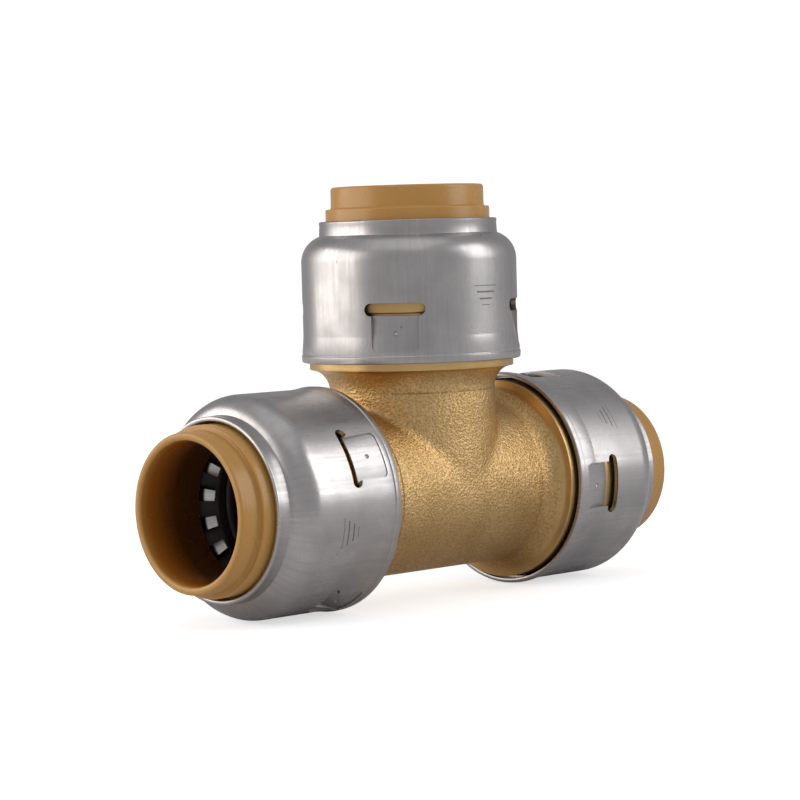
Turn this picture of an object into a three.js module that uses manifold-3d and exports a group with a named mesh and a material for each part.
// Push to connect tee for 3/4 in (22.2 mm) copper, CPVC and PEX tube.
//
// A forged brass tee has a hub on each of its three ends. On every hub sit the same five
// pieces: a rubber O-ring and a plastic protector ring inside the hub, a stainless grab ring
// on the hub's end face, a plastic release collar, and a drawn stainless cap that holds them.
//
// Millimetres, +Z up along the branch port, X along the run. The origin is below the middle
// of the tee, at the height of the lowest edge of the caps. A distance along a port ("at") is
// counted from the point where the ports' axes meet, outwards.

import * as THREE from "three";
import { mergeVertices } from "three/addons/utils/BufferGeometryUtils.js";
import Module from "manifold-3d";

// ---- driving dimensions -------------------------------------------------------------------

const TUBE_R = 11.11;          // the tube that the fitting takes, outside radius
const TUBE_PLAY = 0.24;        // radial clearance of the sockets round the tube
const SIDES = 24;              // flats round every turned piece

const TUBE_STOP_AT = 21.5;     // the tube's end rests on the shoulder here
const SEAL_SEAT_AT = 29.0;     // floor of the O-ring's seat
const HUB_END_AT = 37.3;
const MOUTH_AT = 45.0;         // end of the cap's neck

const RUN_R = 13.8;            // outside of the run's waist
const BRANCH_R = 14.04;        // outside of the branch's waist
const HUB_R = 17.05;
const HUB_FILLET = 3.7;        // hollow fillet between waist and hub
const HUB_FOOT_AT = 16.5;      // the fillet starts here
const RUN_BORE_R = 9.6;
const BRANCH_BORE_R = 9.4;
const SEAL_SEAT_R = 14.15;
const EDGE_BREAK = 0.3;        // small bevels on turned edges
const RIDGE_R = 16.5;          // the ridge that the cap's tabs catch on
const RIDGE_TO = 33.0;

const CAP_R = 18.0;
const CAP_WALL = 0.8;
const CAP_SKIRT_AT = 21.6;     // open edge of the cap
const CAP_FLARE = 0.35;        // the open edge is this much wider
const CAP_FLARE_FROM = 26.0;   // the skirt widens from here to its open edge
const CAP_NECK_R = 14.9;
const CAP_SHOULDER_AT = 38.2;  // the shoulder meets the cap's straight wall here
const CAP_SHOULDER_ROUND = 4.6;

const TAB_COUNT = 4;
const TAB_WIDTH = 7.7;
const TAB_ROOT_AT = 23.6;
const TAB_TIP_AT = 29.3;
const TAB_DEPTH = 1.05;        // how far the tip is pressed in
const WINDOW_WIDTH = 10.0;
const WINDOW_TOP_AT = 31.5;
const WINDOW_ROUND = 1.05;
const TAB_CORNER = 0.9;
const TAB_OVERLAP = 0.2;       // the tab runs this far into the wall on each side

const TOOTH_COUNT = 16;
const TOOTH_TIP_R = 10.5;
const TOOTH_SLOPE = 29;        // degrees below the ring's plane
const TOOTH_TURN = 15.9;       // degrees, first tooth
const TOOTH_ROOT_WIDTH = 2.5;
const TOOTH_TIP_WIDTH = 1.9;
const GRAB_RING_R = 16.95;
const GRAB_RING_BORE_R = 14.2;
const GRAB_RING_SHEET = 0.5;
const GRAB_RING_RIM = 1.9;     // height of the ring's upturned rim

const COLLAR_BARREL_R = 12.8;
const COLLAR_FLANGE_R = 13.7;
const COLLAR_RIM_R = 15.2;     // too wide for the neck, so the collar stays in
const COLLAR_LIP_AT = 50.65;
const COLLAR_STEP_AT = 47.0;
const COLLAR_NOSE_AT = 38.0;
const COLLAR_RIM_AT = 40.2;
const COLLAR_RIM_THICK = 1.2;
const COLLAR_LIP_ROUND = 0.6;

const CORD_R = 1.6;            // the O-ring's section
const SEAL_PLAY = 0.15;        // the seal and its protector stand this far off their seat
const PROTECTOR_AT = 32.65;
const PROTECTOR_RIM_AT = 36.7; // the cone under the teeth runs from here
const PROTECTOR_FOOT_AT = 34.4;

const CENTRE_HEIGHT = CAP_R + CAP_FLARE;
const SOCKET_R = TUBE_R + TUBE_PLAY;
const GROOVE_R = HUB_R - TAB_DEPTH - 0.1;

// Where each port points, and the angle of its cap's first window: the caps went on as they
// came, so no two stand alike.
const PORTS = [
  { name: "left", turn: [0, 0, 90], window: 26.4 },
  { name: "right", turn: [0, 0, -90], window: 3.2 },
  { name: "branch", turn: [90, 0, 0], window: 36.3 },
];

const FINISH = {
  brass: { color: 0xb58a45, roughness: 0.55, metalness: 1.0 },
  stainless: { color: 0xb4b1b0, roughness: 0.32, metalness: 1.0 },
  springSteel: { color: 0xc6c5c4, roughness: 0.25, metalness: 1.0 },
  tanPlastic: { color: 0xc08a4a, roughness: 0.35, metalness: 0.0 },
  blackPlastic: { color: 0x17171b, roughness: 0.5, metalness: 0.0 },
  rubber: { color: 0x101010, roughness: 0.7, metalness: 0.0 },
};

// ---- solids -------------------------------------------------------------------------------

const wasm = await Module();
wasm.setup();

const radians = THREE.MathUtils.degToRad;

function solidOf(geometry) {
  const bare = geometry.index ? geometry.toNonIndexed() : geometry.clone();
  bare.deleteAttribute("normal");
  bare.deleteAttribute("uv");
  const merged = mergeVertices(bare, 1e-4);
  const vertProperties = new Float32Array(merged.attributes.position.array);
  const triVerts = new Uint32Array(merged.index.array);
  return new wasm.Manifold(new wasm.Mesh({ numProp: 3, vertProperties, triVerts }));
}

function geometryOf(solid) {
  const mesh = solid.getMesh();
  const geometry = new THREE.BufferGeometry();
  geometry.setAttribute("position", new THREE.BufferAttribute(mesh.vertProperties, 3));
  geometry.setIndex(new THREE.BufferAttribute(mesh.triVerts, 1));
  geometry.computeVertexNormals();
  return geometry;
}

function named(name, geometry, finish) {
  const mesh = new THREE.Mesh(geometry, new THREE.MeshStandardMaterial(FINISH[finish]));
  mesh.name = name;
  return mesh;
}

// Points of an arc or a quarter ellipse, as [radius, distance along the port].
function arc(centreR, centreAt, spanR, spanAt, fromDegrees, toDegrees, steps) {
  return Array.from({ length: steps + 1 }, (_, i) => {
    const angle = radians(fromDegrees + ((toDegrees - fromDegrees) * i) / steps);
    return [centreR + spanR * Math.cos(angle), centreAt + spanAt * Math.sin(angle)];
  });
}

// A turned piece round +Y. The outline runs anticlockwise with the radius to the right.
function turned(outline, closed = true) {
  const points = outline.map(([r, at]) => new THREE.Vector2(r, at));
  if (closed) points.push(points[0].clone());
  return new THREE.LatheGeometry(points, SIDES);
}

// A flat plate with its face towards +Z: x across, y along the port, standing at radius z.
function plate(outline, thickness, z) {
  const geometry = new THREE.ExtrudeGeometry(outline, {
    depth: thickness, bevelEnabled: false, curveSegments: 2,
  });
  return geometry.translate(0, 0, z);
}

function roundedSlot(width, low, high, round) {
  const half = width / 2;
  const slot = new THREE.Shape();
  slot.moveTo(half - round, low);
  slot.absarc(half - round, low + round, round, radians(-90), 0, false);
  slot.absarc(half - round, high - round, round, 0, radians(90), false);
  slot.absarc(round - half, high - round, round, radians(90), radians(180), false);
  slot.absarc(round - half, low + round, round, radians(180), radians(270), false);
  slot.closePath();
  return slot;
}

// ---- the pieces ---------------------------------------------------------------------------

// Outside of one hub, from its hollow fillet to its end face.
function hubOutline(waistR) {
  const fillet = HUB_R - waistR;
  return [
    ...arc(HUB_R, HUB_FOOT_AT, -fillet, HUB_FILLET, 0, 84, 4),
    [HUB_R, HUB_FOOT_AT + HUB_FILLET + 0.2],
    [HUB_R, TAB_ROOT_AT + 0.3],
    [GROOVE_R, TAB_TIP_AT - 1.0],
    [GROOVE_R, TAB_TIP_AT + 0.3],
    [RIDGE_R, TAB_TIP_AT + 0.3],
    [RIDGE_R, RIDGE_TO],
    [HUB_R, RIDGE_TO + EDGE_BREAK],
    [HUB_R, HUB_END_AT - EDGE_BREAK],
    [HUB_R - EDGE_BREAK, HUB_END_AT],
    [0, HUB_END_AT],
  ];
}

// Everything that is cut out of one port: passage, tube socket and seal seat.
function portHollow(passageR, start) {
  const past = HUB_END_AT + 1;
  return turned([
    [0, start],
    [passageR, start],
    [passageR, TUBE_STOP_AT],
    [SOCKET_R, TUBE_STOP_AT],
    [SOCKET_R, SEAL_SEAT_AT],
    [SEAL_SEAT_R, SEAL_SEAT_AT],
    [SEAL_SEAT_R, past],
    [0, past],
  ], false);
}

function teeBody() {
  const along = (geometry, turn) => {
    const euler = new THREE.Euler(...turn.map(radians));
    return solidOf(geometry.applyMatrix4(new THREE.Matrix4().makeRotationFromEuler(euler)));
  };
  const [left, right, branch] = PORTS.map((port) => port.turn);
  const runHub = hubOutline(RUN_R);
  const otherHub = runHub.map(([r, at]) => [r, -at]).reverse();
  const run = along(turned([...otherHub, ...runHub], false), right);
  // the branch starts just inside the run's surface and comes to its full size above it
  const stem = along(turned([[0, 0], [RUN_R - 0.1, 0], [BRANCH_R, 2.5], ...hubOutline(BRANCH_R)],
    false), branch);
  const passage = -1;
  const hollows = [
    along(portHollow(RUN_BORE_R, passage), left),
    along(portHollow(RUN_BORE_R, passage), right),
    along(portHollow(BRANCH_BORE_R, 0), branch),
  ];
  const body = hollows.reduce((solid, hollow) => solid.subtract(hollow), run.add(stem));
  const mesh = named("tee_body", geometryOf(body), "brass");
  mesh.position.z = CENTRE_HEIGHT;
  return mesh;
}

function cap(name, firstWindow) {
  const inside = CAP_R - CAP_WALL;
  const neckInside = CAP_NECK_R - CAP_WALL;
  const shoulderR = CAP_R - CAP_SHOULDER_ROUND;
  const insideRound = CAP_SHOULDER_ROUND - CAP_WALL;
  const turnTo = (radius, round) =>
    THREE.MathUtils.radToDeg(Math.acos((radius - shoulderR) / round));
  const shoulder = (round, from, to, steps) =>
    arc(shoulderR, CAP_SHOULDER_AT, round, round, from, to, steps);
  const shell = solidOf(turned([
    [inside + CAP_FLARE, CAP_SKIRT_AT],
    [CAP_R + CAP_FLARE, CAP_SKIRT_AT],
    [CAP_R, CAP_FLARE_FROM],
    ...shoulder(CAP_SHOULDER_ROUND, 0, turnTo(CAP_NECK_R, CAP_SHOULDER_ROUND), 5),
    [CAP_NECK_R, MOUTH_AT],
    [neckInside, MOUTH_AT],
    ...shoulder(insideRound, turnTo(neckInside, insideRound), 0, 4),
    [inside, CAP_FLARE_FROM],
  ]));
  // the tabs lean inwards from the middle of the wall, all cut from one cone
  const cone = solidOf(turned([
    [inside + 0.1, TAB_ROOT_AT - 0.3],
    [CAP_R - 0.1, TAB_ROOT_AT - 0.3],
    [CAP_R - TAB_DEPTH, TAB_TIP_AT],
    [inside - TAB_DEPTH, TAB_TIP_AT],
  ]));
  const window = roundedSlot(WINDOW_WIDTH, TAB_TIP_AT, WINDOW_TOP_AT, WINDOW_ROUND);
  const opening = roundedSlot(TAB_WIDTH, TAB_ROOT_AT, TAB_TIP_AT + 1, TAB_CORNER);
  const outline = roundedSlot(TAB_WIDTH + 2 * TAB_OVERLAP, TAB_ROOT_AT - 0.5, TAB_TIP_AT + 1,
    EDGE_BREAK);
  let solid = shell;
  for (let i = 0; i < TAB_COUNT; i++) {
    const turn = radians(firstWindow + (360 / TAB_COUNT) * i);
    const cut = (shape) => solidOf(plate(shape, 4, CAP_R - 3).rotateY(turn));
    const tab = cone.intersect(cut(outline));
    solid = solid.subtract(cut(window)).subtract(cut(opening)).add(tab);
  }
  return named(name, geometryOf(solid), "stainless");
}

function releaseCollar(name) {
  const lip = COLLAR_LIP_ROUND;
  const rimTop = COLLAR_RIM_AT + COLLAR_RIM_THICK;
  const shape = turned([
    [SOCKET_R + 0.1, COLLAR_NOSE_AT],
    [COLLAR_BARREL_R - EDGE_BREAK, COLLAR_NOSE_AT],
    [COLLAR_BARREL_R, COLLAR_RIM_AT],
    [COLLAR_RIM_R, COLLAR_RIM_AT],
    [COLLAR_RIM_R, rimTop],
    [COLLAR_FLANGE_R, rimTop + 0.2],
    [COLLAR_FLANGE_R, COLLAR_STEP_AT - 0.2],
    [COLLAR_FLANGE_R - 0.2, COLLAR_STEP_AT],
    [COLLAR_BARREL_R, COLLAR_STEP_AT + 0.2],
    ...arc(COLLAR_BARREL_R - lip, COLLAR_LIP_AT - lip, lip, lip, 0, 90, 3),
    [SOCKET_R + 0.4, COLLAR_LIP_AT],
    [SOCKET_R + 0.1, COLLAR_LIP_AT - 0.4],
  ]);
  return named(name, shape, "tanPlastic");
}

function grabRing(name) {
  const low = HUB_END_AT + 0.1;
  const high = low + GRAB_RING_SHEET;
  const rimInside = GRAB_RING_R - GRAB_RING_SHEET;
  const ring = solidOf(turned([
    [GRAB_RING_BORE_R, low],
    [GRAB_RING_R, low],
    [GRAB_RING_R, low + GRAB_RING_RIM],
    [rimInside, low + GRAB_RING_RIM],
    [rimInside, high],
    [GRAB_RING_BORE_R, high],
  ]));
  const slope = radians(TOOTH_SLOPE);
  const rootR = GRAB_RING_BORE_R + 0.15;
  const length = (rootR - TOOTH_TIP_R) / Math.cos(slope);
  const outline = new THREE.Shape();
  const [root, tip] = [TOOTH_ROOT_WIDTH / 2, TOOTH_TIP_WIDTH / 2];
  outline.setFromPoints([[root, 0], [tip, length], [-tip, length], [-root, 0]]
    .map(([x, y]) => new THREE.Vector2(x, y)));
  const inwards = new THREE.Vector3(0, -Math.sin(slope), -Math.cos(slope));
  const across = new THREE.Vector3(1, 0, 0);
  const place = new THREE.Matrix4()
    .makeBasis(across, inwards, across.clone().cross(inwards))
    .setPosition(0, low + 0.12, rootR);
  let solid = ring;
  for (let i = 0; i < TOOTH_COUNT; i++) {
    const turn = radians(TOOTH_TURN + (360 / TOOTH_COUNT) * i);
    const tooth = plate(outline, GRAB_RING_SHEET, 0).applyMatrix4(place).rotateY(turn);
    solid = solid.add(solidOf(tooth));
  }
  return named(name, geometryOf(solid), "springSteel");
}

function protectorRing(name) {
  const shape = turned([
    [SOCKET_R, PROTECTOR_AT],
    [SEAL_SEAT_R - SEAL_PLAY, PROTECTOR_AT],
    [SEAL_SEAT_R - SEAL_PLAY, PROTECTOR_RIM_AT],
    [SOCKET_R, PROTECTOR_FOOT_AT],
  ]);
  return named(name, shape, "blackPlastic");
}

function oRing(name) {
  const ringR = SEAL_SEAT_R - SEAL_PLAY - CORD_R;
  const middle = SEAL_SEAT_AT + CORD_R + 0.25;
  const section = arc(ringR, middle, CORD_R, CORD_R, 0, 315, 7);
  return named(name, turned(section), "rubber");
}

// ---- assembly -----------------------------------------------------------------------------

const tee = new THREE.Group();
tee.add(teeBody());

for (const { name, turn, window } of PORTS) {
  const port = new THREE.Group();
  port.position.z = CENTRE_HEIGHT;
  port.rotation.set(...turn.map(radians));
  port.add(
    cap(`${name}_cap`, window),
    releaseCollar(`${name}_release_collar`),
    grabRing(`${name}_grab_ring`),
    protectorRing(`${name}_seal_protector`),
    oRing(`${name}_o_ring`),
  );
  tee.add(port);
}

export default tee;
